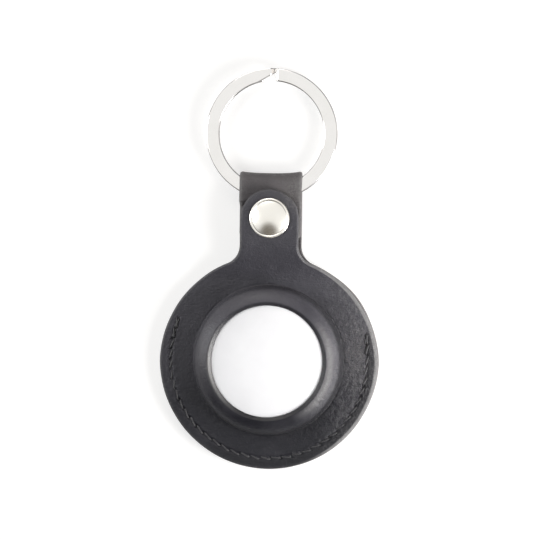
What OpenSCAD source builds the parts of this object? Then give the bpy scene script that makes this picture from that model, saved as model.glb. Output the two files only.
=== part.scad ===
// Leather holder for a coin-shaped tracker tag, with a snap tab and a split key ring.
// It lies on its back. +Z points out of the window, +Y runs up the neck to the key ring,
// and the origin is the middle of the pocket on its back face. Lengths are in millimetres.

/* [Tag] */
// Diameter of the coin tag at its rim
tag_d = 31.9; // [29:0.1:36]
// Thickness of the coin tag
tag_h = 8; // [7.2:0.1:9.6]
// Running gap between the tag and the leather around it
tag_gap = 0.15; // [0.1:0.01:0.3]
// Wall of the tag's plastic shell
shell_t = 1; // [0.7:0.05:1.2]
// Sheet thickness of the battery cover
cover_t = 0.4; // [0.3:0.05:0.5]
// Diameter of the coin cell
cell_d = 20; // [18:0.1:22]
// Thickness of the coin cell
cell_h = 3.2; // [2.5:0.1:3.6]

/* [Leather] */
// Thickness of the hide
leather_t = 1.2; // [1:0.05:1.5]
// Wall of the dome, where the hide is stretched over the mould
mould_t = 0.9; // [0.7:0.05:1.2]
// Flat margin from the dome to the edge of the pocket
flange_w = 8; // [6.4:0.1:9.6]
// How far the leather laps over the tag's rim
window_lip = 3.3; // [2.6:0.1:4]
// Radius that the top edge of the window is rolled to
window_edge_r = 0.9; // [0.6:0.05:1.1]
// How much lower the shoulders run than a full circle
shoulder_drop = 1; // [0.5:0.1:1.5]

/* [Seam] */
// Distance of the seam from the edge
seam_inset = 2.5; // [2:0.1:3]
// Length of one stitch
stitch_pitch = 2.4; // [2:0.1:3]
// Diameter of the sewing thread
thread_d = 0.4; // [0.3:0.05:0.5]
// Angle where the seam ends on the left
seam_left_deg = 156; // [148:1:166]
// Angle where the seam ends on the right
seam_right_deg = 16; // [8:1:26]

/* [Neck and strap] */
// Width of the strap that carries the key ring
strap_w = 14.2; // [12:0.1:16]
// Width of the closing tab
tab_w = 13.2; // [11.2:0.1:15]
// Radius between the shoulder and the neck
neck_fillet_r = 4.5; // [3:0.1:6]
// From the edge of the pocket to the middle of the snap
neck_reach = 7.5; // [7:0.1:9]
// From the dome to the line where the tab flexes
flex_margin = 0.8; // [0.6:0.1:1.6]
// Length over which the tab climbs from the pocket to the snap
tab_climb_l = 9.4; // [8:0.1:10]
// Strap left below the middle of the snap
strap_tail_l = 4.8; // [4:0.1:5.8]
// Radius of the corners at the cut end of the strap
strap_corner_r = 1.5; // [1:0.1:2]

/* [Snap] */
// Diameter of the snap's cap
cap_d = 9.15; // [7.7:0.05:10.5]
// Height of the cap above the leather
cap_h = 1.15; // [0.9:0.05:1.4]
// Sheet thickness of the snap's parts
snap_sheet_t = 0.3; // [0.25:0.01:0.35]
// Diameter of the socket
socket_d = 5.6; // [5.2:0.1:5.8]
// Diameter of the stud's base
stud_base_d = 5; // [4.6:0.1:5.4]
// Diameter of the stud's head
stud_head_d = 3.5; // [3.2:0.05:3.7]
// Diameter of the tubes that are clinched through the leather
stem_d = 2.3; // [2:0.05:2.5]
// Diameter of the flange on the back post
post_flange_d = 5.6; // [5:0.1:6]
// Wire diameter of the socket's spring
spring_wire_d = 0.35; // [0.3:0.01:0.4]

/* [Key ring] */
// Inside diameter of the split ring
ring_inside_d = 24; // [21:0.5:30]
// Width of the flat wire
ring_band_w = 3; // [2.5:0.1:3.5]
// Thickness of the flat wire
ring_wire_t = 0.85; // [0.7:0.05:1]
// Radius on the wire's edges
ring_edge_r = 0.22; // [0.1:0.01:0.3]

/* [Movement] */
// How far the loop bends back
loop_back_deg = 60; // [40:1:70]
// How far the loop bends forward
loop_forward_deg = 5; // [2:1:6]
// Turn of the battery cover from locked to free
cover_turn_deg = 20; // [15:1:25]

/* [Hidden] */

$fn = 96;
// One overrun serves every cut, and one large size every half space.
cut = 0.5;
far = 100;
// Clearance of a fixed fit, and of two faces that part when a joint moves
fit = 0.03;
part_gap = 0.04;

leather_colour = [0.20, 0.20, 0.21];
thread_colour = [0.08, 0.08, 0.09];
nickel_colour = [0.80, 0.78, 0.75];
steel_colour = [0.70, 0.71, 0.73];
white_colour = [0.95, 0.95, 0.97];
board_colour = [0.10, 0.30, 0.16];
copper_colour = [0.72, 0.45, 0.25];

// Tag profile: the widest place is a share of the thickness up, and the curve above and
// below it is a superellipse.
tag_rim_share = 0.375;
tag_top_power = 2.7;
tag_low_power = 2.3;
tag_r = tag_d / 2;
tag_base_z = leather_t + tag_gap * 2 / 3;
tag_rim_z = tag_base_z + tag_h * tag_rim_share;
tag_rise = tag_h * (1 - tag_rim_share);
tag_drop = tag_h * tag_rim_share;

// The battery cover's edge lies part of the way from the cell's edge to the tag's.
cover_share = 0.4874;
cover_d = cell_d + (tag_d - cell_d) * cover_share;

// Pocket
front_top_z = 2 * leather_t;
dome_inner_r = tag_r + tag_gap;
dome_r = dome_inner_r + mould_t;
dome_foot_r = 0.4;
pocket_r = dome_r + flange_w;
window_r = tag_r - window_lip;

// Seam
seam_r = pocket_r - seam_inset;
seam_span_deg = 360 - seam_left_deg + seam_right_deg;
stitches = round(seam_r * seam_span_deg * PI / 180 / stitch_pitch);
stitch_deg = seam_span_deg / stitches;
thread_proud = 0.15;
hole_gap = 0.08;
groove_w = thread_d + 3 * hole_gap;
front_groove_z = front_top_z - thread_d + thread_proud;
back_groove_h = thread_d + part_gap;

// Snap and loop, along Y
snap_y = pocket_r + neck_reach;
post_margin = 0.8;
bend_y = snap_y + post_flange_d / 2 + post_margin;
bend_z = leather_t / 2;
bend_play_deg = 2;
ring_standoff = 0.6;
ring_gap = 0.1;
ring_inner_r = ring_inside_d / 2;
ring_outer_r = ring_inner_r + ring_band_w;
ring_y = bend_y + ring_standoff + ring_outer_r;
// The fold clears the inside of the ring where the ring leaves the strap's two sides.
fold_inner_y = ring_y - sqrt(pow(ring_inner_r, 2) - pow(strap_w / 2, 2)) + ring_gap;
fold_outer_y = fold_inner_y + leather_t;
fold_corner_r = 0.5;

// Heights of the ring, the loop over it and the tab over that
turn_gap = 0.05;
ring_low_z = leather_t + ring_gap;
ring_high_z = ring_low_z + 2 * ring_wire_t + turn_gap;
loop_under_z = ring_high_z + ring_gap;
loop_top_z = loop_under_z + leather_t;
tab_clear = 0.35;
tab_under_z = loop_top_z + tab_clear;
tab_top_z = tab_under_z + leather_t;
tab_rise = tab_top_z - front_top_z;

// The strap climbs over the ring just above the snap.
climb_run = 1.3;
under_climb_y = bend_y + ring_standoff - ring_gap - climb_run;
top_climb_y = under_climb_y - leather_t / 5;
climb_steps = 8;

// Flex line of the tab
flex_y = dome_r + flex_margin;
tail_y = snap_y - strap_tail_l;

// Snap heights
stud_clear = 0.2;
stud_base_z = front_top_z;
stud_head_z = tab_under_z - stud_clear - 2 * snap_sheet_t;
socket_low_z = stud_base_z + snap_sheet_t + stud_clear;
spring_z = socket_low_z + 2 * snap_sheet_t;
stem_r = stem_d / 2;
bore_r = stem_r + fit;
crown_power = 2.2;

// Levels inside the tag
cell_gap = 0.1;
cell_low_z = tag_base_z + cover_t + cell_gap;
cell_high_z = cell_low_z + cell_h;
contact_t = 0.25;
floor_low_z = cell_high_z + contact_t;
floor_t = 0.6;
floor_high_z = floor_low_z + floor_t;
board_t = 0.6;
shell_inner_r = tag_r - shell_t;

function ease(s) = s * s * (3 - 2 * s);

// A quarter superellipse of half width rx and height rz: points from angle a0 to a1.
function superellipse(rx, rz, power, a0, a1, steps) =
    [for (i = [0:steps]) let (a = a0 + (a1 - a0) * i / steps)
        [rx * pow(max(cos(a), 0), 2 / power), rz * pow(max(sin(a), 0), 2 / power)]];

// The angle at which that curve has the radius r.
function superellipse_angle(rx, power, r) = acos(pow(r / rx, power / 2));

// The height of that curve over the radius r, and how steeply it falls there.
function superellipse_height(rx, rz, power, r) = rz * pow(1 - pow(r / rx, power), 1 / power);
function superellipse_slope(rx, rz, power, r) =
    atan(rz / rx * pow(r / rx, power - 1) * pow(1 - pow(r / rx, power), 1 / power - 1));

function arc(centre, r, a0, a1, steps) =
    [for (i = [0:steps]) let (a = a0 + (a1 - a0) * i / steps)
        centre + r * [cos(a), sin(a)]];

function raised(points, z) = [for (p = points) [p[0], p[1] + z]];

function reversed(points) = [for (i = [len(points) - 1:-1:0]) points[i]];

// Draws a profile of Y and Z and extrudes it along X, centred.
module along_x(width) {
    rotate([90, 0, 90]) translate([0, 0, -width / 2]) linear_extrude(width) children();
}

// Leather outline

module pocket_outline() {
    intersection() {
        circle(pocket_r);
        translate([0, -shoulder_drop]) circle(pocket_r);
    }
}

// The pocket with a neck of half width w, which runs out of the shoulders in hollow corners
module necked_outline(w, end_y) {
    r = neck_fillet_r;
    centre_y = sqrt(pow(pocket_r + r, 2) - pow(w + r, 2)) - shoulder_drop;
    touch_deg = 360 + atan2(-centre_y - shoulder_drop, -w - r);
    corner = arc([w + r, centre_y], r, touch_deg, 180, 8);
    right = concat([[corner[0][0] - part_gap, 0], corner[0] - [part_gap, part_gap]],
                   [for (i = [1:8]) corner[i]], [[w, end_y]]);
    pocket_outline();
    polygon(concat(right, reversed([for (p = right) [-p[0], p[1]]])));
}

module seam_holes() {
    for (i = [0:stitches])
        rotate([0, 0, seam_left_deg + i * stitch_deg])
            translate([seam_r, 0, -cut])
                cylinder(r = thread_d / 2 + hole_gap, h = front_top_z + 2 * cut, $fn = 16);
}

module seam_groove(low_z, high_z) {
    rotate([0, 0, seam_left_deg - stitch_deg / 4])
        rotate_extrude(angle = seam_span_deg + stitch_deg / 2)
            translate([seam_r - groove_w / 2, low_z]) square([groove_w, high_z - low_z]);
}

// Panels

module back_panel() {
    color(leather_colour) difference() {
        linear_extrude(leather_t) difference() {
            necked_outline(strap_w / 2, bend_y - bend_z * 3 / 4);
            translate([0, snap_y]) circle(bore_r);
        }
        translate([0, snap_y, -cut])
            cylinder(d = post_flange_d + 2 * fit, h = cut + snap_sheet_t + fit);
        seam_holes();
        seam_groove(-cut, back_groove_h);
        knuckle_seat();
    }
}

// Clears the rounded root of the loop through its whole bend.
module knuckle_seat() {
    translate([0, bend_y, bend_z]) {
        rotate([0, 90, 0])
            cylinder(r = bend_z + part_gap, h = strap_w + 2 * cut, center = true);
        for (a = [-loop_back_deg - bend_play_deg, loop_forward_deg + bend_play_deg])
            rotate([a, 0, 0])
                translate([-strap_w / 2 - cut, 0, -bend_z - part_gap])
                    cube([strap_w + 2 * cut, strap_w, 2 * (bend_z + part_gap)]);
    }
}

// Section of the dome: up the outside, over the rolled edge of the window and back inside
function dome_section() =
    let (rise_in = tag_rise + tag_gap, rise_out = rise_in + mould_t,
         crest_r = window_r + window_edge_r,
         roll_deg = 90 - superellipse_slope(dome_r, rise_out, tag_top_power,
                                            crest_r + window_edge_r * 0.4),
         edge_r = crest_r + window_edge_r * cos(roll_deg),
         edge_z = tag_rim_z + superellipse_height(dome_r, rise_out, tag_top_power, edge_r),
         out_end = superellipse_angle(dome_r, tag_top_power, edge_r),
         in_end = superellipse_angle(dome_inner_r, tag_top_power, window_r),
         inside = raised(superellipse(dome_inner_r, rise_in, tag_top_power, 0, in_end, 8),
                         tag_rim_z),
         roll = arc([crest_r, edge_z - window_edge_r * sin(roll_deg)], window_edge_r,
                    roll_deg + roll_deg / 8, 180, 7))
    concat(
        [[dome_inner_r, leather_t], [dome_r + dome_foot_r, leather_t]],
        arc([dome_r + dome_foot_r, front_top_z + dome_foot_r], dome_foot_r, 270, 180, 4),
        raised(superellipse(dome_r, rise_out, tag_top_power, 0, out_end, 12), tag_rim_z),
        [for (p = roll) if (p[1] > inside[8][1] + part_gap) p],
        reversed(inside));

module front_panel() {
    color(leather_colour) difference() {
        union() {
            translate([0, 0, leather_t]) linear_extrude(leather_t) difference() {
                intersection() {
                    pocket_outline();
                    translate([-far / 2, flex_y - far]) square(far);
                }
                circle(dome_inner_r);
            }
            rotate_extrude() polygon(dome_section());
        }
        seam_holes();
        seam_groove(front_groove_z, front_top_z + cut);
    }
}

// Top line of the tab: it climbs from the flex line and runs flat over the snap.
function tab_top_line(steps) = concat(
    [for (i = [0:steps])
        [flex_y + tab_climb_l * i / steps, front_top_z + tab_rise * ease(i / steps)]],
    [[snap_y + tab_w, tab_top_z]]);

module closure_tab() {
    top = tab_top_line(12);
    under = [for (p = top) [p[0], max(p[1] - leather_t, leather_t + part_gap)]];
    color(leather_colour) intersection() {
        linear_extrude(far) difference() {
            union() {
                necked_outline(tab_w / 2, snap_y);
                translate([0, snap_y]) circle(tab_w / 2);
            }
            translate([0, snap_y]) circle(bore_r);
        }
        along_x(2 * pocket_r) polygon(concat(top, reversed(under)));
        translate([-far / 2, flex_y + part_gap, 0]) cube(far);
    }
}

// Strap: up behind the ring, over it, and down to the snap

// The climbing line of the strap's return, from low_z at start_y up to high_z
function strap_climb(start_y, low_z, high_z) =
    [for (i = [0:climb_steps])
        [start_y + climb_run * i / climb_steps,
         low_z + (high_z - low_z) * ease(i / climb_steps)]];

module strap_return_section() {
    top = strap_climb(top_climb_y, front_top_z, loop_top_z);
    under = strap_climb(under_climb_y, leather_t, loop_under_z);
    fold_y = fold_outer_y - loop_top_z / 2;
    polygon(concat([[tail_y, front_top_z]], top, [[fold_y, loop_top_z], [fold_y, loop_under_z]],
                   reversed(under), [[tail_y, leather_t]]));
}

// Section of the loop: along the back, round the outside of the fold, down the return as
// far as the bend, and back through the channel that the ring runs in
function loop_section() =
    let (fold_r = loop_top_z / 2, inner_y = fold_inner_y - fold_corner_r,
         top = strap_climb(top_climb_y, front_top_z, loop_top_z),
         under = strap_climb(under_climb_y, leather_t, loop_under_z))
    concat(
        arc([fold_outer_y - fold_r, fold_r], fold_r, -90, 90, 16),
        reversed([for (p = top) if (p[1] > front_top_z && p[0] > bend_y) p]),
        [[bend_y, lookup(bend_y, top)], [bend_y, lookup(bend_y, under)]],
        [for (p = under) if (p[0] > bend_y) p],
        arc([inner_y, loop_under_z - fold_corner_r], fold_corner_r, 90, 0, 4),
        arc([inner_y, leather_t + fold_corner_r], fold_corner_r, 0, -90, 4),
        arc([bend_y, bend_z], bend_z, 90, 270, 12));

module strap_loop() {
    color(leather_colour) along_x(strap_w) polygon(loop_section());
}

module strap_end() {
    inner_y = tail_y + strap_corner_r;
    inner_x = strap_w / 2 - strap_corner_r;
    color(leather_colour) difference() {
        intersection() {
            along_x(strap_w) strap_return_section();
            linear_extrude(far) difference() {
                union() {
                    translate([-strap_w / 2, inner_y]) square([strap_w, far]);
                    translate([-inner_x, tail_y]) square([2 * inner_x, far]);
                    for (x = [-inner_x, inner_x])
                        translate([x, inner_y]) circle(strap_corner_r);
                }
                translate([0, snap_y]) circle(bore_r);
            }
        }
        translate([-far / 2, bend_y, bend_z])
            rotate([loop_forward_deg + bend_play_deg, 0, 0])
                translate([0, 0, -far / 2]) cube(far);
    }
}

// Lock stitch: the two threads meet inside the leather, at the face between the panels.

// One side of the row of stitches: full in the middle of a stitch and drawn in at a hole
function stitch_side(side) =
    [for (i = [0:2 * stitches])
        let (a = seam_left_deg + i * stitch_deg / 2, share = i % 2 == 0 ? 0.5 : 1)
            (seam_r + side * share * thread_d / 2) * [cos(a), sin(a)]];

module stitch_chain() {
    polygon(concat(stitch_side(1), reversed(stitch_side(-1))));
}

module thread_legs(low_z, high_z) {
    for (i = [0:stitches])
        rotate([0, 0, seam_left_deg + i * stitch_deg])
            translate([seam_r, 0, low_z])
                cylinder(d = thread_d, h = high_z - low_z, $fn = 16);
}

module needle_thread() {
    color(thread_colour) {
        translate([0, 0, front_groove_z]) linear_extrude(thread_d) stitch_chain();
        thread_legs(leather_t, front_groove_z + thread_d / 2);
    }
}

module bobbin_thread() {
    color(thread_colour) {
        translate([0, 0, back_groove_h - thread_d]) linear_extrude(thread_d) stitch_chain();
        thread_legs(back_groove_h - thread_d / 2, leather_t);
    }
}

// Snap fastener. Each piece is turned about the snap's own axis.

module at_snap(z) {
    translate([0, snap_y, z]) children();
}

// Domed cap with a beaded rim, and the tube that is flared under the socket's plate
module snap_cap() {
    cap_r = cap_d / 2;
    bead_r = snap_sheet_t * 0.8;
    crown_r = cap_r - 2 * bead_r;
    crown_h = cap_h - bead_r;
    hollow_r = crown_r - snap_sheet_t;
    hollow_h = crown_h - snap_sheet_t;
    hollow_deg = superellipse_angle(hollow_r, crown_power, stem_r);
    flare_z = -leather_t - snap_sheet_t;
    color(nickel_colour) at_snap(tab_top_z) rotate_extrude() polygon(concat(
        [[hollow_r, 0]],
        arc([cap_r - bead_r, bead_r], bead_r, -90, 120, 8),
        raised(superellipse(crown_r, crown_h, crown_power, 0, 90, 10), bead_r),
        [[0, cap_h - snap_sheet_t], [stem_r - snap_sheet_t, cap_h - snap_sheet_t],
         [stem_r - snap_sheet_t, flare_z - snap_sheet_t],
         [stem_r + snap_sheet_t, flare_z - snap_sheet_t],
         [stem_r + snap_sheet_t, flare_z], [stem_r, flare_z]],
        raised(reversed(superellipse(hollow_r, hollow_h, crown_power, 0, hollow_deg, 8)),
               bead_r)));
}

// Cup that takes the stud's head: a top plate, a wall and a turned-in lip
module snap_socket() {
    r = socket_d / 2;
    throat_r = stud_head_d / 2 + stud_clear;
    height = tab_under_z - socket_low_z;
    color(nickel_colour) at_snap(socket_low_z) rotate_extrude() polygon([
        [bore_r, height], [r, height], [r, snap_sheet_t], [r - snap_sheet_t, 0],
        [throat_r, 0], [throat_r, snap_sheet_t], [r - snap_sheet_t, 2 * snap_sheet_t],
        [r - snap_sheet_t, height - snap_sheet_t], [bore_r, height - snap_sheet_t]]);
}

// Open wire ring that lies in the socket's groove, round the stud
module socket_spring() {
    wire_r = spring_wire_d / 2;
    opening_deg = 50;
    turn_r = stud_head_d / 2 + stud_clear / 2 + wire_r;
    color(steel_colour) at_snap(spring_z + wire_r)
        rotate([0, 0, 90 + opening_deg / 2])
            rotate_extrude(angle = 360 - opening_deg)
                translate([turn_r, 0]) circle(wire_r, $fn = 24);
}

// Base plate on the strap, a waist and the rounded head, hollow for the post
module snap_stud() {
    base_r = stud_base_d / 2;
    head_r = stud_head_d / 2;
    waist_r = head_r - snap_sheet_t / 2;
    height = stud_head_z - stud_base_z;
    round_r = head_r / 3;
    shoulder_z = height - round_r;
    color(nickel_colour) at_snap(stud_base_z) rotate_extrude() polygon(concat(
        [[bore_r, 0], [base_r, 0], [base_r, snap_sheet_t], [waist_r, snap_sheet_t],
         [waist_r, height / 2]],
        arc([head_r - round_r, shoulder_z], round_r, 0, 90, 6),
        [[0, height], [0, height - snap_sheet_t], [bore_r, height - snap_sheet_t]]));
}

// Flanged tube from the back, let in flush with the back face
module snap_post() {
    top_z = stud_head_z - 2 * snap_sheet_t;
    color(nickel_colour) at_snap(0) rotate_extrude() polygon([
        [stem_r - snap_sheet_t, 0], [post_flange_d / 2, 0],
        [post_flange_d / 2, snap_sheet_t], [stem_r, snap_sheet_t],
        [stem_r, top_z], [stem_r - snap_sheet_t, top_z]]);
}

// Split ring: flat wire in two turns. Each turn stops where the crank steps the wire down.

upper_end_deg = 85.4;
crank_start_deg = 106.6;
crank_end_deg = 87;
crank_lap_deg = 4;
lower_end_deg = 100;
// The wire starts to step down a little before the end of the turn below it.
step_lead_deg = 1;

module rounded_bar(w, h, r) {
    translate([r, 0]) square([w - 2 * r, h]);
    translate([0, r]) square([w, h - 2 * r]);
    for (x = [r, w - r], y = [r, h - r]) translate([x, y]) circle(r, $fn = 24);
}

module ring_turn(low_z, from_deg, to_deg) {
    rotate([0, 0, from_deg]) rotate_extrude(angle = to_deg - from_deg)
        translate([ring_inner_r, low_z]) rounded_bar(ring_band_w, ring_wire_t, ring_edge_r);
}

// The step from the upper to the lower turn, narrowed towards the outside of the ring
module ring_crank() {
    upper_z = ring_wire_t + turn_gap;
    mid_r = ring_inner_r + ring_band_w / 2;
    start_x = mid_r * cos(crank_start_deg);
    step_x = mid_r * cos(lower_end_deg - step_lead_deg);
    end_x = mid_r * cos(crank_end_deg);
    join_x = mid_r * cos(upper_end_deg - crank_lap_deg);
    lap_deg = crank_start_deg + crank_lap_deg;
    start = ring_inner_r * [cos(crank_start_deg), sin(crank_start_deg)];
    lap = [cos(lap_deg), sin(lap_deg)];
    tip = (ring_outer_r - ring_band_w / 3) * [cos(crank_end_deg), sin(crank_end_deg)];
    intersection() {
        ring_turn_blank(2 * ring_wire_t + turn_gap);
        linear_extrude(far) polygon([ring_inner_r * lap, start, tip, [join_x, tip[1]],
                                     [join_x, far], far * lap]);
        rotate([90, 0, 0]) translate([0, 0, -far]) linear_extrude(far) polygon([
            [start_x - ring_band_w, upper_z], [step_x, upper_z], [end_x, 0], [join_x, 0],
            [join_x, ring_wire_t], [end_x + ring_wire_t / 3, ring_wire_t],
            [step_x + ring_wire_t / 3, upper_z + ring_wire_t],
            [start_x - ring_band_w, upper_z + ring_wire_t]]);
    }
}

module ring_turn_blank(h) {
    difference() {
        cylinder(r = ring_outer_r, h = h);
        translate([0, 0, -cut]) cylinder(r = ring_inner_r, h = h + 2 * cut);
    }
}

module split_ring() {
    color(nickel_colour) translate([0, ring_y, ring_low_z]) {
        ring_turn(ring_wire_t + turn_gap, crank_start_deg, upper_end_deg + 360);
        ring_turn(0, lower_end_deg, crank_end_deg - crank_lap_deg / 2 + 360);
        ring_crank();
    }
}

// Coin tag

module tag_shell() {
    inner_rise = tag_rise - shell_t;
    color(white_colour) translate([0, 0, tag_rim_z]) rotate_extrude() polygon(concat(
        superellipse(tag_r, tag_rise, tag_top_power, 0, 90, 18),
        reversed(superellipse(shell_inner_r, inner_rise, tag_top_power, 0, 90, 12))));
}

// Lugs of the bayonet, or with a gap round them the notches that they enter through
lugs = 3;
lug_deg = 16;
skirt_t = 0.6;
lug_reach = 0.5;
lug_t = 0.5;
bayonet_gap = 0.08;
skirt_r = cover_d / 2 - lug_reach - bayonet_gap;
skirt_h = 1.1;
well_gap = 0.4;
lug_play_deg = 4;

module lug_sectors(r, h, extra_deg) {
    for (i = [0:lugs - 1])
        rotate([0, 0, i * 360 / lugs - extra_deg / 2])
            rotate_extrude(angle = lug_deg + extra_deg) square([r, h]);
}

// Lower body of the tag: the outer curve, the board's floor, the cell well and the bayonet
module tag_frame() {
    cover_top_z = tag_base_z + cover_t + bayonet_gap;
    low_angle = superellipse_angle(tag_r, tag_low_power, cover_d / 2 + bayonet_gap);
    lower = [for (p = superellipse(tag_r, tag_drop, tag_low_power, 0, low_angle, 8))
             [p[0], tag_rim_z - p[1]]];
    low_z = lower[len(lower) - 1][1];
    well_r = cell_d / 2 + well_gap;
    seat_z = max(low_z, cover_top_z);
    groove_z = cover_top_z + skirt_h - lug_t - 2 * bayonet_gap;
    color(white_colour) difference() {
        rotate_extrude() polygon(concat(
            [[0, floor_high_z], [0, floor_low_z], [well_r, floor_low_z],
             [well_r, seat_z], [cover_d / 2 + bayonet_gap, seat_z]],
            reversed(lower),
            [[shell_inner_r - fit, tag_rim_z], [shell_inner_r - fit - floor_t, floor_high_z]]));
        translate([0, 0, cover_top_z - cut])
            cylinder(r = skirt_r + bayonet_gap, h = skirt_h + bayonet_gap + cut);
        translate([0, 0, groove_z])
            cylinder(r = skirt_r + lug_reach + bayonet_gap, h = lug_t + 3 * bayonet_gap);
        translate([0, 0, cover_top_z - cut]) rotate([0, 0, cover_turn_deg])
            lug_sectors(skirt_r + lug_reach + bayonet_gap, groove_z - cover_top_z + 2 * cut,
                        lug_play_deg);
    }
}

module circuit_board() {
    color(board_colour) translate([0, 0, floor_high_z]) linear_extrude(board_t) difference() {
        circle(shell_inner_r - floor_t - shell_t);
        circle(coil_r + shell_t);
    }
}

// Sounder: the magnet, and the voice coil with a running gap round it
magnet_r = cell_d / 4.4;
coil_gap = 0.15;
coil_t = 0.5;
coil_r = magnet_r + coil_gap + coil_t;
coil_top_z = tag_rim_z - fit
             + superellipse_height(shell_inner_r, tag_rise - shell_t, tag_top_power, coil_r);

module speaker_magnet() {
    color(steel_colour) translate([0, 0, floor_high_z])
        cylinder(r = magnet_r, h = coil_top_z - floor_high_z - shell_t);
}

// Voice coil, bonded to the inside of the shell and hanging round the magnet
module speaker_coil() {
    coil_h = (coil_top_z - floor_high_z) / 2;
    color(copper_colour) translate([0, 0, coil_top_z - coil_h])
        linear_extrude(coil_h) difference() {
            circle(coil_r);
            circle(coil_r - coil_t);
        }
}

// Three leaves between the cell and the floor above it
module battery_contacts() {
    leaf_l = cell_d / 6;
    leaf_w = cell_d / 12;
    color(copper_colour) for (a = [0:120:240])
        rotate([0, 0, a + 30]) translate([cell_d / 3.4, -leaf_w / 2, cell_high_z])
            cube([leaf_l, leaf_w, contact_t]);
}

// Coin cell: the can below, and the narrower negative face above
module coin_cell() {
    step_h = cell_h / 12;
    color(steel_colour) translate([0, 0, cell_low_z]) {
        cylinder(d = cell_d, h = cell_h - step_h);
        cylinder(d = cell_d * 0.9, h = cell_h);
    }
}

module battery_cover() {
    cover_r = cover_d / 2;
    color(steel_colour) translate([0, 0, tag_base_z]) {
        cylinder(r = cover_r, h = cover_t);
        difference() {
            union() {
                cylinder(r = skirt_r, h = cover_t + skirt_h);
                translate([0, 0, cover_t + skirt_h - lug_t])
                    lug_sectors(skirt_r + lug_reach, lug_t, 0);
            }
            translate([0, 0, cover_t]) cylinder(r = skirt_r - skirt_t, h = skirt_h + cut);
        }
    }
}

back_panel();
front_panel();
closure_tab();
strap_loop();
strap_end();
needle_thread();
bobbin_thread();
snap_cap();
snap_socket();
socket_spring();
snap_stud();
snap_post();
split_ring();
tag_shell();
tag_frame();
circuit_board();
speaker_coil();
speaker_magnet();
battery_contacts();
coin_cell();
battery_cover();
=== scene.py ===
"""Looks of the tracker tag holder: leather, thread, snap, key ring and tag."""

import math

import bmesh
import bpy
import numpy as np
from mathutils import Matrix, Vector

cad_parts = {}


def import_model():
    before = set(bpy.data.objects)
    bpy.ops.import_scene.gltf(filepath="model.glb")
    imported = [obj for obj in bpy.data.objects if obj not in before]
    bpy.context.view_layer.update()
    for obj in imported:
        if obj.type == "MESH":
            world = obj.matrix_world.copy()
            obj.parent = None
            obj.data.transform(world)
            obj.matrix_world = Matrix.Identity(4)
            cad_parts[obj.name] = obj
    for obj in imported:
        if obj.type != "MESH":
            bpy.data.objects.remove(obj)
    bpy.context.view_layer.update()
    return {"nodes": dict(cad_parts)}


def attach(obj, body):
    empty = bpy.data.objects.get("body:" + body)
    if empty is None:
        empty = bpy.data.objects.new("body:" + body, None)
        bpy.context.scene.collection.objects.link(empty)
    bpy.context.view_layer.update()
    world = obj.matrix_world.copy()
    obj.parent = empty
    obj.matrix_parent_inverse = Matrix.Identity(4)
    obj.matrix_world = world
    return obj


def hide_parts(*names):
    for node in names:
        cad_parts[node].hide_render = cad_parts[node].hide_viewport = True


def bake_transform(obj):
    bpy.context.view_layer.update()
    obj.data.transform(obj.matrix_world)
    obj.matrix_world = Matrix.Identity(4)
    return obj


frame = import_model()

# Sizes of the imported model, in millimetres. The scene's own unit is the metre.
MM = 0.001
HIDE = 1.2                                          # thickness of each hide
FRONT_Z = 2.4                                       # top of the front hide on the flange
POCKET_R, SHOULDER_DROP, FILLET_R = 25.0, 1.0, 4.5
TAB_HALF, STRAP_HALF = 6.6, 7.1                     # half widths
SNAP_Y, TAB_Z = 32.5, 5.9                           # the snap's axis, and the tab's top there
POST_R, BORE_R = 2.8, 0.85                          # the snap post's flange and its hole
FLEX_Y, CLIMB_L, TAB_RISE = 17.8, 9.4, 3.5          # how the tab climbs over the strap
DOME_IN, DOME_OUT, RIM_Z = 16.1, 17.0, 4.3          # the dome's wall, and where it starts to curve
RISE_IN, RISE_OUT, DOME_POWER = 5.15, 6.05, 2.7
WINDOW_R, CREST_R = 12.65, 13.5                     # the window's cut edge, below and above
SEAM_R, SEAM_FROM, SEAM_SPAN, STITCHES = 22.5, 156.0, 220.0, 36
THREAD_R = 0.18
BEND_Y, BEND_Z = 36.1, 0.6                          # the axis that the loop bends about
FOLD_Y, FOLD_TOP, FOLD_UNDER = 41.15, 4.35, 3.15    # the strap's fold over the ring
TAIL_Y = 27.7                                       # the strap's cut end
RING_Y, RING_IN, RING_OUT = 51.7, 12.0, 15.0
RING_Z, RING_T, TURN_GAP = 1.3, 0.85, 0.05          # the lower turn's underside, wire and gap
TAG_R, TAG_RISE = 15.95, 5.0

# Sizes of the scene alone, in millimetres.
FLANGE_R = 23.15            # up to here the flange's rows are circles
EDGE_POWER = 1.25           # curve of the dressed edges
BACK_SHIFT = 60             # keeps the back hide's grain apart from the front one's
FLOOR_Z, FLOOR_HALF = -0.16, 3000

scene = bpy.context.scene


# ---------------------------------------------------------------- mesh helpers

def piece(name, points, faces, material, values=None, vectors=None):
    """A smooth mesh from points in millimetres, with named values per point."""
    mesh = bpy.data.meshes.new(name)
    points = np.asarray(points, float)
    mesh.from_pydata((points * MM).tolist(), [], faces)
    mesh.polygons.foreach_set("use_smooth", np.ones(len(mesh.polygons), bool))
    for key, data in (values or {}).items():
        mesh.attributes.new(key, "FLOAT", "POINT").data.foreach_set(
            "value", np.asarray(data, np.float32))
    for key, data in (vectors or {}).items():
        mesh.attributes.new(key, "FLOAT_VECTOR", "POINT").data.foreach_set(
            "vector", np.asarray(data, np.float32).ravel())
    mesh.materials.append(material)
    mesh.update()
    made = bpy.data.objects.new(name, mesh)
    scene.collection.objects.link(made)
    return made


def weld(made):
    """Joins the points of a piece that lie on each other, where its parts meet."""
    mesh = bmesh.new()
    mesh.from_mesh(made.data)
    bmesh.ops.remove_doubles(mesh, verts=mesh.verts, dist=1e-7)
    mesh.to_mesh(made.data)
    mesh.free()


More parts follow.
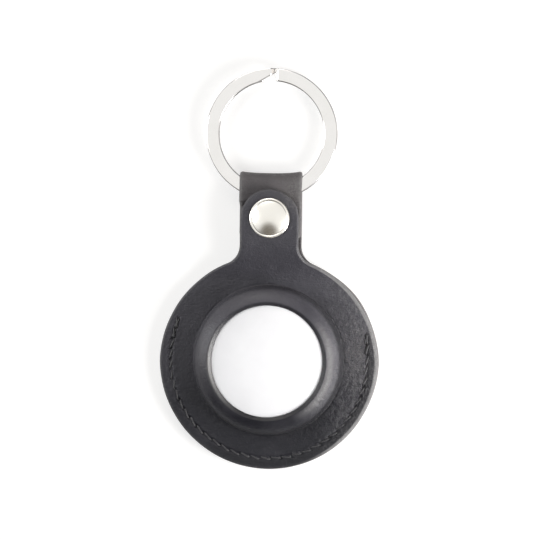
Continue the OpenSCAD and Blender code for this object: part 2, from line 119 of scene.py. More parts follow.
def grid_faces(rows, cols, wrap_rows=False, wrap_cols=False, flip=False, start=0):
    """Quads between rows of points, closed round the rows or the columns where asked."""
    faces = []
    for r in range(rows if wrap_rows else rows - 1):
        for c in range(cols if wrap_cols else cols - 1):
            a, b = r * cols + c, r * cols + (c + 1) % cols
            d, e = ((r + 1) % rows) * cols + c, ((r + 1) % rows) * cols + (c + 1) % cols
            quad = [start + a, start + b, start + e, start + d]
            faces.append(quad[::-1] if flip else quad)
    return faces


def tube_faces(rows, cols, flip=False):
    """Quads between rows of points that are rings, and a face over each end."""
    first, last = list(range(cols)), list(range((rows - 1) * cols, rows * cols))
    ends = [first, last[::-1]] if flip else [first[::-1], last]
    return grid_faces(rows, cols, wrap_cols=True, flip=flip) + ends


def revolve(profile, steps):
    """Points of a profile of radius and height that is turned about Z."""
    a = np.linspace(0, 2 * math.pi, steps, endpoint=False)
    points = [np.stack([r * np.cos(a), r * np.sin(a), np.full(steps, z)], 1) for r, z in profile]
    return np.concatenate(points)


def unit(degrees):
    """The unit vector at an angle from +X."""
    a = math.radians(degrees)
    return np.array([math.cos(a), math.sin(a)])


def arc(cx, cy, r, a0, a1, steps):
    """Points of an arc round a centre, between two angles in degrees."""
    a = np.radians(np.linspace(a0, a1, steps + 1))
    return np.stack([cx + r * np.cos(a), cy + r * np.sin(a)], 1)


def superellipse(rx, rz, power, r):
    """Height of the dome's curve over the radius r."""
    return rz * np.power(np.clip(1 - np.power(np.clip(r / rx, 0, 1), power), 0, 1), 1 / power)


def ease(s):
    """A smooth step from 0 to 1."""
    s = np.clip(s, 0, 1)
    return s * s * (3 - 2 * s)


def resample(points, step):
    """The same line with its points at even steps."""
    points = np.asarray(points, float)
    gaps = np.linalg.norm(np.diff(points, axis=0), axis=1)
    points = points[np.concatenate([[True], gaps > 1e-9])]
    length = np.concatenate([[0], np.cumsum(np.linalg.norm(np.diff(points, axis=0), axis=1))])
    at = np.linspace(0, length[-1], int(round(length[-1] / step)) + 1)
    return np.stack([np.interp(at, length, points[:, k]) for k in range(points.shape[1])], 1)


def half_outline(half_w, top_y):
    """The right half of the pocket and neck, from the bottom up to the height top_y."""
    cy = math.sqrt((POCKET_R + FILLET_R) ** 2 - (half_w + FILLET_R) ** 2) - SHOULDER_DROP
    side = math.degrees(math.asin(SHOULDER_DROP / 2 / POCKET_R))
    touch = math.degrees(math.atan2(cy + SHOULDER_DROP, half_w + FILLET_R))
    return np.concatenate([
        arc(0, 0, POCKET_R, -90, -side, 400),
        arc(0, -SHOULDER_DROP, POCKET_R, side, touch, 400)[1:],
        arc(half_w + FILLET_R, cy, FILLET_R, 180 + touch, 180, 60)[1:],
        np.stack([np.full(60, half_w), np.linspace(cy, top_y, 61)[1:]], 1)])


def side_normals(points, closed):
    """Outward normals of a line that runs anticlockwise."""
    if closed:
        t = np.roll(points, -1, 0) - np.roll(points, 1, 0)
    else:
        t = np.gradient(points, axis=0)
    t /= np.linalg.norm(t, axis=1)[:, None]
    return np.stack([t[:, 1], -t[:, 0]], 1)


def wobble(x, y, seed):
    """A slow, smooth unevenness of about plus and minus one."""
    rng = np.random.default_rng(seed)
    total = 0
    for _ in range(6):
        fx, fy = rng.uniform(-0.55, 0.55, 2)
        total = total + np.sin(fx * x + fy * y + rng.uniform(0, 6.28))
    return total / 3.5


def edge_curve(a, wide, deep):
    """How far in and how far down a dressed edge lies at the angle a of its curve."""
    return wide * (1 - math.sin(a) ** EDGE_POWER), deep * (1 - math.cos(a) ** EDGE_POWER)


# ---------------------------------------------------------------- node helpers

class Nodes:
    """Short names for the nodes that the materials use."""

    def __init__(self, name, owner=None):
        self.owner = owner or bpy.data.materials.new(name)
        self.owner.use_nodes = True
        self.tree = self.owner.node_tree
        self.tree.nodes.clear()

    def add(self, kind, **inputs):
        settings = inputs.pop("settings", {})
        n = self.tree.nodes.new("ShaderNode" + kind)
        for key, value in settings.items():
            setattr(n, key, value)
        for key, value in inputs.items():
            socket = n.inputs[int(key[1:])] if key[0] == "i" and key[1:].isdigit() \
                else n.inputs[key.replace("_", " ")]
            self.set(socket, value)
        return n

    def set(self, socket, value):
        if isinstance(value, bpy.types.NodeSocket):
            self.tree.links.new(value, socket)
        elif isinstance(value, bpy.types.Node):
            self.tree.links.new(value.outputs[0], socket)
        else:
            socket.default_value = value

    def math(self, operation, a, b=0.0, clamp=False):
        return self.add("Math", i0=a, i1=b,
                        settings={"operation": operation, "use_clamp": clamp}).outputs[0]

    def times(self, a, b):
        return self.math("MULTIPLY", a, b)

    def plus(self, first, *others):
        for other in others:
            first = self.math("ADD", first, other)
        return first

    def vector_math(self, operation, a, b=(0, 0, 0)):
        n = self.add("VectorMath", i0=a, i1=b, settings={"operation": operation})
        return n.outputs["Value" if operation in ("DOT_PRODUCT", "LENGTH") else "Vector"]

    def mapping(self, vector, scale, turn=0.0):
        return self.add("Mapping", Vector=vector, Rotation=(0.0, 0.0, turn),
                        Scale=scale).outputs[0]

    def noise(self, vector, scale, detail=3.0, roughness=0.55, distortion=0.0):
        return self.add("TexNoise", Vector=vector, Scale=scale, Detail=detail,
                        Roughness=roughness, Distortion=distortion).outputs[0]

    def cells(self, vector, scale, feature):
        return self.add("TexVoronoi", Vector=vector, Scale=scale,
                        settings={"feature": feature}).outputs["Distance"]

    def span(self, value, a, b, c=0.0, d=1.0, smooth=False):
        """The value's range from a to b, mapped to c to d and held there."""
        return self.add("MapRange", Value=value, From_Min=a, From_Max=b, To_Min=c, To_Max=d,
                        settings={"interpolation_type": "SMOOTHSTEP" if smooth else "LINEAR",
                                  "clamp": True}).outputs[0]

    def mix(self, share, a, b):
        n = self.tree.nodes.new("ShaderNodeMix")
        n.data_type = "RGBA"
        self.set(n.inputs[0], share)
        self.set(n.inputs[6], a)
        self.set(n.inputs[7], b)
        return n.outputs[2]

    def bump(self, height, distance, strength):
        return self.add("Bump", Height=height, Distance=distance, Strength=strength).outputs[0]

    def named(self, attribute, vector=False):
        n = self.add("Attribute", settings={"attribute_name": attribute})
        return n.outputs["Vector" if vector else "Fac"]

    def place(self):
        """Object coordinates in millimetres."""
        return self.mapping(self.add("TexCoord").outputs["Object"], (1000, 1000, 1000))

    def surface(self, **inputs):
        shader = self.add("BsdfPrincipled", **inputs)
        out = self.add("OutputMaterial")
        self.tree.links.new(shader.outputs[0], out.inputs[0])
        return self.owner


def rgb(r, g, b):
    return (r, g, b, 1.0)


# ---------------------------------------------------------------- materials

def leather_material(name, base, high, wear_and_highlight, grain=1.0):
    """Smooth black leather: fine cells, creases, dusty high spots, scuffs and dressed edges,
    with painted light and shade in its colour.
    """
    n = Nodes(name)
    at = n.named("flat", vector=True)
    edge, scuff = n.named("edge"), n.named("scuff")
    x, y, z = n.add("SeparateXYZ", Vector=at).outputs
    radius = n.vector_math("LENGTH", n.vector_math("MULTIPLY", at, (1, 1, 0)))

    # Shares of places: towards the strap, rubbed by hand on the right, drawn over the dome. In
    # the colour all three also carry painted light, lighter where the light falls.
    up = n.span(y, -17.0, 9.0, 0.0, 0.62, True)
    handled_and_lit = n.span(x, 8.0, 24.0, 0.0, 0.40, True)
    drawn_and_lit = n.times(n.span(radius, 16.6, 15.9, 0.0, 0.36, True),
                    n.span(z, 3.0, 5.5, 0.0, 1.0, True))
    patch = n.times(scuff, n.span(n.noise(at, 2.3, 5.0, 0.75, 0.8), 0.42, 0.64))

    # Relief: pores, creases and drag, deeper where the hide is handled, flatter on the dome.
    sway = n.add("TexNoise", Vector=at, Scale=0.7, Detail=2.0).outputs[1]
    warped = n.vector_math("ADD", at, sway)
    creases = n.span(n.cells(warped, 0.8, "DISTANCE_TO_EDGE"), 0.0, 0.12, 0.0, 1.0, True)
    drag = n.noise(n.mapping(at, (0.22, 1.0, 1.0)), 2.4, 4.0, 0.7, 0.3)
    height = n.plus(n.times(n.cells(warped, 1.35, "SMOOTH_F1"), 0.9),
                    n.times(n.cells(warped, 2.7, "F1"), 0.5),
                    n.times(creases, 0.15),
                    n.times(drag, 1.5),
                    n.times(n.times(patch, 1.6), n.noise(at, 2.4, 5.0, 0.75)))
    height = n.times(height, n.plus(n.times(handled_and_lit, 6.0), 1.0, n.times(drawn_and_lit, -1.5)))

    # Tone from black to grey, with painted light: lighter towards the strap, on the right and
    # on the dome's slope. Then dust, rub streaks with painted glints, the black cut edge with
    # painted shade, edge wear with painted highlights, and scuffs over it.
    # lean: painted light, the dome's slope lighter towards its upper right.
    lean = n.span(n.vector_math("DOT_PRODUCT", at, (0.8, 1.0, 0.0)), -15.0, 4.0, 0.2, 1.0)
    tone = n.math("ADD", n.plus(up, n.times(handled_and_lit, 0.72), n.times(drawn_and_lit, lean)),
                  n.span(n.noise(at, 0.16, 4.0, 0.6), 0.3, 0.7, -0.14, 0.12), clamp=True)
    dust = n.span(n.noise(at, 2.2, 5.0, 0.7), 0.64, 0.82, 0.0, 0.35)
    # Rub streaks on the right, which are also painted glints of the light there.
    streaks = n.noise(n.mapping(at, (1.0, 0.45, 1.0), 0.5), 1.5, 5.0, 0.75, 0.6)
    rub_streaks_and_glints = n.times(n.times(handled_and_lit, 1.5), n.span(streaks, 0.46, 0.72))
    colour = n.mix(tone, rgb(*base), rgb(*high))
    for share, over in ((dust, (0.15, 0.147, 0.145)),
                        (rub_streaks_and_glints, (0.25, 0.245, 0.25)),
                        # The window's black cut edge, and painted shade in the dome's foot and on
                        # the flange.
                        (n.times(n.named("cut"), 0.85), (0.006, 0.006, 0.008)),
                        # Edge wear, and painted highlights on the lip, the crown, the right-hand
                        # edges and the fold.
                        (n.times(edge, 0.6), wear_and_highlight),
                        (n.times(patch, 0.55), (0.24, 0.23, 0.22))):
        colour = n.mix(share, colour, rgb(*over))

    rough = n.plus(n.span(n.noise(at, 0.30, 4.0, 0.6), 0.3, 0.7, 0.40, 0.50),
                   n.times(edge, -0.08), n.times(drawn_and_lit, -0.26), n.times(patch, 0.10))
    return n.surface(Base_Color=colour, Roughness=rough,
                     Normal=n.bump(height, 0.00020 * grain, 0.5),
                     Specular_IOR_Level=0.36, Sheen_Weight=0.02, Sheen_Roughness=0.5)


def thread_material():
    n = Nodes("waxed_thread")
    at = n.named("flat", vector=True)
    fuzz = n.noise(at, 9.0, 4.0, 0.7)
    colour = n.mix(n.span(fuzz, 0.35, 0.75), rgb(0.018, 0.018, 0.020), rgb(0.105, 0.102, 0.107))
    return n.surface(Base_Color=colour, Roughness=n.span(fuzz, 0.3, 0.7, 0.32, 0.5),
                     Normal=n.bump(n.noise(at, 22.0, 3.0, 0.6), 0.00003, 0.6),
                     Specular_IOR_Level=0.5, Sheen_Weight=0.08, Sheen_Roughness=0.4)


def metal_material(name, base, tint, rough, scratch=1.0):
    """Plated metal: faint tone patches, hairline scratches and rubbed roughness. Where a mesh has
    the value side it is darker: a painted dark reflection on the wire's narrow sides, and
    painted shade in the cap's crease."""
    n = Nodes(name)
    at = n.place()
    patches = n.span(n.noise(at, 0.35, 3.0, 0.5), 0.35, 0.7)
    # Painted dark reflection and painted shade, where the value side is set.
    dark = n.times(n.named("side"),
                   n.span(n.noise(at, 0.22, 3.0, 0.6), 0.38, 0.62, 0.5, 1.0))
    colour = n.mix(dark, n.mix(patches, rgb(*base), rgb(*tint)), rgb(0.045, 0.042, 0.050))
    lines = n.noise(at, 6.0, 5.0, 0.7)
    hair = n.span(n.cells(n.mapping(at, (0.5, 9.0, 1.0), 0.6), 0.9, "DISTANCE_TO_EDGE"),
                  0.0, 0.02, 1.0, 0.0)
    height = n.plus(n.times(lines, 0.4), n.times(hair, -0.25))
    return n.surface(Base_Color=colour, Metallic=1.0,
                     Roughness=n.span(lines, 0.3, 0.7, rough * 0.8, rough * 1.25),
                     Normal=n.bump(height, 0.000006 * scratch, 0.5))


def plastic_material(name, base, rough, grain=0.2, coat=0.0):
    """Moulded plastic: faint clouds in its colour and its gloss, and a fine grain."""
    n = Nodes(name)
    at = n.place()
    clouds = n.span(n.noise(at, 0.25, 3.0, 0.5), 0.3, 0.7)
    gloss = n.span(n.noise(at, 1.3, 4.0, 0.6), 0.3, 0.7, rough * 0.85, rough * 1.2)
    return n.surface(Base_Color=n.mix(clouds, rgb(*base), rgb(*[c * 0.97 for c in base])),
                     Roughness=gloss,
                     Normal=n.bump(n.noise(at, 5.0, 4.0, 0.6), 0.00002 * grain, 0.4),
                     Coat_Weight=coat, Coat_Roughness=0.06)


FRONT_LEATHER = leather_material("black_leather", (0.006, 0.006, 0.010),
                                 (0.070, 0.067, 0.079), (0.34, 0.335, 0.33))
# A lighter copy for the back hide, with painted light on the strap, the fold and the edges.
LIT_BACK_LEATHER = leather_material("black_leather_back_lit", (0.018, 0.0175, 0.021),
                                (0.140, 0.128, 0.131), (0.40, 0.395, 0.385), 1.2)
THREAD = thread_material()
SNAP = metal_material("satin_nickel", (0.93, 0.905, 0.85), (0.90, 0.87, 0.81), 0.22)
RING = metal_material("bright_nickel", (0.905, 0.888, 0.872), (0.88, 0.864, 0.844), 0.10, 0.6)
WHITE = plastic_material("gloss_white", (0.955, 0.955, 0.97), 0.16, 0.1, 0.5)
SPRING = metal_material("spring_steel", (0.45, 0.45, 0.46), (0.38, 0.38, 0.40), 0.30)
FRAME_WHITE = plastic_material("moulded_white", (0.78, 0.78, 0.79), 0.42, 1.0)
BOARD = plastic_material("solder_mask", (0.020, 0.10, 0.050), 0.35, 1.0)
COPPER = metal_material("bare_copper", (0.62, 0.33, 0.18), (0.50, 0.26, 0.14), 0.30)
MAGNET = metal_material("plated_magnet", (0.50, 0.50, 0.52), (0.42, 0.42, 0.44), 0.25)
CELL = metal_material("rolled_can", (0.66, 0.67, 0.68), (0.58, 0.59, 0.61), 0.28)
COVER = metal_material("polished_steel", (0.74, 0.74, 0.75), (0.68, 0.68, 0.69), 0.14)


# ---------------------------------------------------------------- front hide

def tab_height(y):
    """Height of the front hide's upper face from the flange up to the tab."""
    return FRONT_Z + TAB_RISE * ease((y - FLEX_Y) / CLIMB_L)


def seam_line(turn):
    """The seam's radius, by the angle from its left end. Both ends run a little outwards."""
    left, right, fade = 0.30, 0.65, 14
    return (SEAM_R + left * ease((10 - turn) / fade)
            + right * ease((turn - SEAM_SPAN + 12) / fade))


def seam_dip(x, y):
    """How far the thread pulls the leather in: a groove, a hole between stitches, and pillows
    beside them."""
    turn = np.degrees(np.arctan2(y, x))
    turn = np.where(turn < 90, turn + 360, turn) - SEAM_FROM
    off = np.hypot(x, y) - seam_line(turn)
    pitch = SEAM_SPAN / STITCHES
    inside = ease((turn + pitch / 2) / pitch) * ease((SEAM_SPAN + pitch / 2 - turn) / pitch)
    at = np.clip(np.round(turn / pitch), 0, STITCHES).astype(int)
    pull = np.random.default_rng(31).uniform(0.4, 1.15, STITCHES + 1)[at]
    puff = np.random.default_rng(32).uniform(0.2, 1.5, STITCHES + 1)[at]
    groove = 0.10 * np.exp(-(off / 0.45) ** 2)
    near = (turn / pitch - np.round(turn / pitch)) * pitch * math.pi / 180 * SEAM_R
    hole = 0.44 * pull * np.exp(-(off / 0.34) ** 2 - (near / 0.34) ** 2)
    pillow = -0.11 * puff * sum(np.exp(-((off - aside) / 0.35) ** 2 - (near / 0.6) ** 2)
                                for aside in (0.7, -0.7))
    return inside * (groove + hole + pillow)


def front_top(x, y):
    """Height of the front hide outside the dome, with the ring that the cap presses up."""
    from_cap = np.hypot(x, y - SNAP_Y)
    pressed_up = 0.07 * np.exp(-((from_cap - 5.1) / 0.45) ** 2)
    return tab_height(y) - seam_dip(x, y) + pressed_up + 0.035 * wobble(x, y, 3)


def front_under(y):
    """Height of the front hide's lower face, just clear of the back hide."""
    return np.maximum(tab_height(y) - HIDE, HIDE + 0.03)


def rounded(a, b, c, r, steps):
    """Points that round the corner b of the line a, b, c with the radius r."""
    a, b, c = (np.asarray(p, float) for p in (a, b, c))
    u, v = (a - b) / np.linalg.norm(a - b), (c - b) / np.linalg.norm(c - b)
    t = np.linspace(0, 1, steps)[:, None]
    p, q = b + u * r, b + v * r
    return (1 - t) ** 2 * p + 2 * t * (1 - t) * b + t ** 2 * q


def dome_rows():
    """Radius and height over the dome: up its inside, over the cut edge of the window, which
    leans outwards, and down the outside to the foot."""
    def outside(r):
        return RIM_Z + superellipse(DOME_OUT, RISE_OUT, DOME_POWER, np.asarray(r, float))

    def inside(r):
        return RIM_Z + superellipse(DOME_IN, RISE_IN, DOME_POWER, np.asarray(r, float))

    lip_r, crest_r, foot_r = 0.08, 0.22, 0.45
    walls = np.array([[DOME_IN, HIDE + 0.04], [DOME_IN, 2.2], [DOME_IN, 3.3]])
    inner = WINDOW_R + (DOME_IN - WINDOW_R) * np.cos(np.linspace(0, math.pi / 2, 13))[:-1]
    lip, crest = (WINDOW_R, float(inside(WINDOW_R)) + 0.02), (CREST_R, float(outside(CREST_R)))
    past = (CREST_R + 0.6, float(outside(CREST_R + 0.6)))
    low = rounded((inner[-1], float(inside(inner[-1]))), lip, crest, lip_r, 4)
    high = rounded(lip, crest, past, crest_r, 7)
    bevel = low[-1] + (high[0] - low[-1]) * np.linspace(0, 1, 7)[1:-1, None]
    outer = high[-1][0] + (DOME_OUT - high[-1][0]) * np.sin(np.linspace(0, math.pi / 2, 24))[1:]
    foot = np.concatenate([[[DOME_OUT, 3.7], [DOME_OUT, 3.2]],
                           arc(DOME_OUT + foot_r, FRONT_Z + foot_r, foot_r, 180, 270, 8)])
    return np.concatenate([walls, np.stack([inner, inside(inner)], 1), low, bevel, high,
                           np.stack([outer, outside(outer)], 1), foot])


def front_hide():
    """The front leather as rows of points round the outline: over the dome, out over the flange
    and the tab, round the edge, and back in under it."""
    right = np.concatenate([half_outline(TAB_HALF, SNAP_Y),
                            arc(0, SNAP_Y, TAB_HALF, 0, 90, 120)[1:]])
    loop = np.concatenate([right, (right * [-1, 1])[::-1][1:]])
    rim = resample(loop, 0.30)[:-1]
    normal = side_normals(rim, True)
    rim = rim + normal * (0.035 * wobble(rim[:, 0] * 1.3, rim[:, 1] * 1.3, 8))[:, None]
    out = rim / np.linalg.norm(rim, axis=1)[:, None]
    rows, edge, cut = [], [], []

    def add(xy, z, wear_and_highlight=0.0, dark=0.0):
        rows.append(np.column_stack([xy, np.broadcast_to(z, len(xy))]))
        edge.append(np.broadcast_to(wear_and_highlight, len(xy)))
        cut.append(np.broadcast_to(dark, len(xy)))

    # The window's cut lip is dark all round, with a painted highlight on its left, and
    # the dome's crown has a painted highlight on its right. The foot's crease has painted
    # shade on the right alone, because light reaches into it elsewhere.
    lip_at, crown_at = 13.1, 14.4
    lip_highlight = np.clip(-out @ unit(15), 0, 1) ** 6
    crown_highlight = 0.62 * ease((out @ (0.985, -0.17) - 0.55) / 0.4)
    foot = 0.15 + 0.85 * ease((out @ (0.94, -0.34) - 0.1) / 0.6)
    for r, z in dome_rows():
        xy = out * r
        lip = math.exp(-((r - lip_at) / 0.45) ** 2) if z > 7.5 else 0.0
        crown = math.exp(-((r - crown_at) / 0.8) ** 2) if z > 6.5 and r > 13.6 else 0.0
        shaded_crease = 0.7 * ease((r - DOME_IN) / 0.5) * ease((7.6 - z) / 0.8)
        uneven = 0.05 * wobble(xy[:, 0], xy[:, 1], 5) if r > 14 and z > 2.6 else 0
        add(xy, z + uneven, lip * lip_highlight + crown * crown_highlight,
            np.maximum(lip, shaded_crease * foot))

    # Rows over the flange, close together at the foot and at the seam. The flange has painted
    # shade next to the foot, and outside the seam on its lower right.
    shaded = ease((out @ (0.80, -0.60) + 0.05) / 0.35) * (1 - ease((out[:, 1] - 0.22) / 0.1))
    for r in np.concatenate([np.linspace(17.5, 18.1, 4), np.linspace(18.4, 21.6, 11),
                             np.linspace(21.75, FLANGE_R, 16)]):
        xy = out * r
        add(xy, front_top(xy[:, 0], xy[:, 1]), 0.0,
            0.55 * foot * ease((17.9 - r) / 0.6) + 0.8 * shaded * ease((r - 22.7) / 0.35))

    # The dressed edge is a wide bevel on the pocket's right side and a narrow one elsewhere.
    broad = (ease((out @ unit(4) - 0.2) / 0.5) * (1 - ease((rim[:, 1] - 23.5) / 4)))[:, None]
    wide, deep, under_r = 0.43 + 0.27 * broad, (0.33 + 0.19 * broad)[:, 0], 0.28
    # The edge is rubbed, with a painted highlight on the pocket's right side where light falls.
    rubbed_and_lit = 0.15 + 0.8 * broad[:, 0]
    inner, brim = out * FLANGE_R, rim - normal * wide
    for t in np.linspace(0, 1, 27)[1:]:
        xy = inner + (brim - inner) * t
        add(xy, front_top(xy[:, 0], xy[:, 1]), rubbed_and_lit * 0.5 * t ** 14,
            0.8 * shaded * (1 - t ** 8) * (np.hypot(xy[:, 0], xy[:, 1]) < POCKET_R))
    top = front_top(brim[:, 0], brim[:, 1])
    for a in np.radians([12, 24, 36, 48, 60, 72, 82, 90]):
        inset, drop = edge_curve(a, wide, deep)
        add(rim - normal * inset, top - drop, rubbed_and_lit)
    low = front_under(brim[:, 1])
    add(rim, (top - deep + low + under_r) / 2, rubbed_and_lit)
    for a in np.radians([0, 25, 50, 75, 90]):
        add(rim - normal * under_r * (1 - math.cos(a)), low + under_r * (1 - math.sin(a)), rubbed_and_lit)
    below = rim - normal * under_r
    for t in np.linspace(0, 1, 31)[1:-1]:
        xy = below + (out * (DOME_IN + 0.1) - below) * t
        add(xy, front_under(xy[:, 1]))

    points = np.concatenate(rows)
    return piece("front_leather", points,
                 grid_faces(len(rows), len(rim), wrap_rows=True, wrap_cols=True, flip=True),
                 FRONT_LEATHER,
                 values={"edge": np.concatenate(edge), "cut": np.concatenate(cut),
                         "scuff": scuffs(points)},
                 vectors={"flat": points})


def scuffs(points):
    """Where the leather is rubbed: the strap's right side and small places on the flange."""
    def spot(x, y, wide, high):
        return np.exp(-((points[:, 0] - x) / wide) ** 2 - ((points[:, 1] - y) / high) ** 2)

    return np.clip(1.1 * spot(5.4, 38.6, 2.4, 3.6) + 0.55 * spot(20.5, 2.0, 2.6, 7.0), 0, 1)


front = front_hide()
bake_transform(front)
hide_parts("front_panel", "closure_tab")


# ---------------------------------------------------------------- back hide

def strap_path():
    """Pairs of lines in Y and Z, outside and inside of the back hide, from the bottom pole up
    the neck, round the fold and down to the strap's end, with the length along them."""
    outer, inner = [], []

    def both(a, b):
        outer.append(a)
        inner.append(b)

    for y in np.arange(-POCKET_R, FOLD_Y, 0.35):
        both((y, 0.0), (y, HIDE))
    r_out, r_in = FOLD_TOP / 2, (FOLD_UNDER - HIDE) / 2
    for a in np.radians(np.linspace(-90, 90, 25)):
        both((FOLD_Y + r_out * math.cos(a), r_out + r_out * math.sin(a)),
             (FOLD_Y + r_in * math.cos(a), HIDE + r_in + r_in * math.sin(a)))
    # Back over the ring, down past the bend, and along the neck.
    bend_out, bend_in, drop_l = BEND_Y + 0.26, BEND_Y + 0.5, 1.3
    for t in np.linspace(0, 1, 14)[1:]:
        both((FOLD_Y + (bend_out - FOLD_Y) * t, FOLD_TOP),
             (FOLD_Y + (bend_in - FOLD_Y) * t, FOLD_UNDER))
    for t in np.linspace(0, 1, 12)[1:]:
        both((bend_out - drop_l * t, FOLD_TOP - (FOLD_TOP - FRONT_Z) * ease(t)),
             (bend_in - drop_l * t, FOLD_UNDER - (FOLD_UNDER - HIDE) * ease(t)))
    for t in np.linspace(0, 1, 22)[1:]:
        both((bend_out - drop_l + (TAIL_Y - bend_out + drop_l) * t, FRONT_Z),
             (bend_in - drop_l + (TAIL_Y - bend_in + drop_l) * t, HIDE))
    outer, inner = np.array(outer), np.array(inner)
    middle = (outer + inner) / 2
    along = np.concatenate([[0], np.cumsum(np.linalg.norm(np.diff(middle, axis=0), axis=1))])
    return along - POCKET_R, outer, inner


PATH_S, PATH_OUT, PATH_IN = strap_path()


def on_path(x, s, h):
    """A place on the hide: across, along and through it (0 on its outside, 1 on its inside)."""
    outer = [np.interp(s, PATH_S, PATH_OUT[:, k]) for k in (0, 1)]
    inner = [np.interp(s, PATH_S, PATH_IN[:, k]) for k in (0, 1)]
    y = outer[0] + (inner[0] - outer[0]) * h
    z = outer[1] + (inner[1] - outer[1]) * h
    # The snap's post is let into the back, with a hole through its middle.
    from_post = np.hypot(x, y - SNAP_Y)
    let_in = (0.36 * ease((POST_R + 0.22 - from_post) / 0.2)
              + 0.7 * ease((BORE_R + 0.1 - from_post) / 0.2))
    z = np.where((s < SNAP_Y + 4) & (h < 0.5), z + let_in, z)
    # The fold sags between its corners, of which the left one sags a little too.
    u = np.clip(x / STRAP_HALF, -1, 1)
    middle, left = 0.57, 0.40
    sag = middle - np.where(u < 0, left, middle) * np.abs(u) ** 3
    return np.stack([x, y - sag * ease((y - 38.4) / 4.0), z], 1)


def mouth(y):
    """How far the back hide stands out past the front one on the right, above the seam's end."""
    low, high, widest = -14, 21, 15
    return (0.22 * ease((y - low) / 14) * ease((high - y) / 6)
            + 0.28 * np.exp(-((y - widest) / 4.5) ** 2))


def back_hide():
    """The back leather as a section that follows the right half of its outline, with the left
    half mirrored, laid along the path of the strap."""
    s_end, corner_r = PATH_S[-1], 1.5
    rim = resample(np.concatenate([
        half_outline(STRAP_HALF, s_end - corner_r),
        arc(STRAP_HALF - corner_r, s_end - corner_r, corner_r, 0, 90, 30)[1:]]), 0.34)
    normal = side_normals(rim, False)
    normal[0], normal[-1] = (0, -1), (0, 1)
    rim[:, 0] += 0.03 * wobble(rim[:, 1] * 1.1, rim[:, 0], 12) * np.clip(rim[:, 0], 0, 1)

    # Each column of the section: inset from the rim, depth through the hide, side and wear.
    wide, deep, inner_r = 0.62, 0.46, 0.26
    across = np.linspace(-1, 1, 33)

    def edge_columns(side):
        columns = [(*edge_curve(a, wide, deep / HIDE), side, 0.9)
                   for a in np.radians([14, 28, 42, 56, 70, 81, 90])]
        return columns + [(inner_r * (1 - math.cos(a)),
                           1 - inner_r / HIDE * (1 - math.sin(a)), side, 0.8)
                          for a in np.radians([0, 22, 45, 68])]

    columns = [(wide, 0.0, u, 0.5 * abs(u) ** 14) for u in across] + edge_columns(1)
    end_section = columns[len(across) - 1:] + [(inner_r, 1.0, 1, 0.0)]
    columns += [(inner_r, 1.0, u, 0.0) for u in across[::-1]] + edge_columns(-1)[::-1]
    points, flat, edge = [], [], []

    def add(x, s, h, wear_and_highlight):
        points.append(on_path(x, s, h))
        flat.append(np.stack([x, s + BACK_SHIFT, h * HIDE], 1))
        edge.append(wear_and_highlight)

    inset, h, side, wear = (np.array(values) for values in zip(*columns))
    for (rim_x, rim_s), (normal_x, normal_s) in zip(rim, normal):
        s = rim_s - normal_s * inset
        x = side * np.maximum(rim_x - normal_x * inset, 0.0) + np.clip(side, 0, 1) * mouth(s)
        # Painted highlights along the fold's top and on the right-hand edges below the neck, where
        # the light falls; plainer wear on the other edges.
        fold_highlight = 0.75 * math.exp(-((rim_s - 41.6) / 1.8) ** 2)
        right = ease((rim_x - 13) / 9)
        left = 0.3 * (ease(rim_x / 4) if rim_s < 0 else 1.0)
        share = np.where((side > 0) & (rim_s < 24), right, left)
        add(x, s, h, np.maximum(wear * share, fold_highlight * (h < 0.5)))
    faces = grid_faces(len(rim), len(columns), wrap_cols=True, flip=True)
    # The strap's cut end has the same section as its sides.
    for inset, h, _, wear_and_highlight in end_section:
        x = across * rim[-1][0]
        add(x, *(np.full_like(x, value) for value in (rim[-1][1] - inset, h, 0.3 * wear_and_highlight)))
    faces += grid_faces(len(end_section), len(across), flip=True, start=len(rim) * len(columns))
    points = np.concatenate(points)
    made = piece("back_leather", points, faces, LIT_BACK_LEATHER,
                 values={"edge": np.concatenate(edge), "scuff": scuffs(points)},
                 vectors={"flat": np.concatenate(flat)})
    weld(made)
    return made


back = back_hide()
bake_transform(back)
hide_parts("back_panel", "strap_loop", "strap_end")


# ---------------------------------------------------------------- seams

def stitch_tube(path, radius):
    """A twisted thread of three plies along a short path."""
    sides, lay = 10, 1.5
    path = np.asarray(path, float)
    t = np.gradient(path, axis=0)
    t /= np.linalg.norm(t, axis=1)[:, None]
    side = np.cross(t, np.array([0, 0, 1.0]))
    side /= np.linalg.norm(side, axis=1)[:, None]
    lift = np.cross(side, t)
    length = np.concatenate([[0], np.cumsum(np.linalg.norm(np.diff(path, axis=0), axis=1))])
    a = np.linspace(0, 2 * math.pi, sides, endpoint=False)
    rings = []
    for k in range(len(path)):
        plies = 1 + 0.16 * np.cos(3 * (a - 2 * math.pi / lay * length[k]))
        rings.append(path[k] + radius * plies[:, None]
                     * (np.cos(a)[:, None] * side[k] + np.sin(a)[:, None] * lift[k]))
    return np.concatenate(rings), tube_faces(len(path), sides, flip=True)


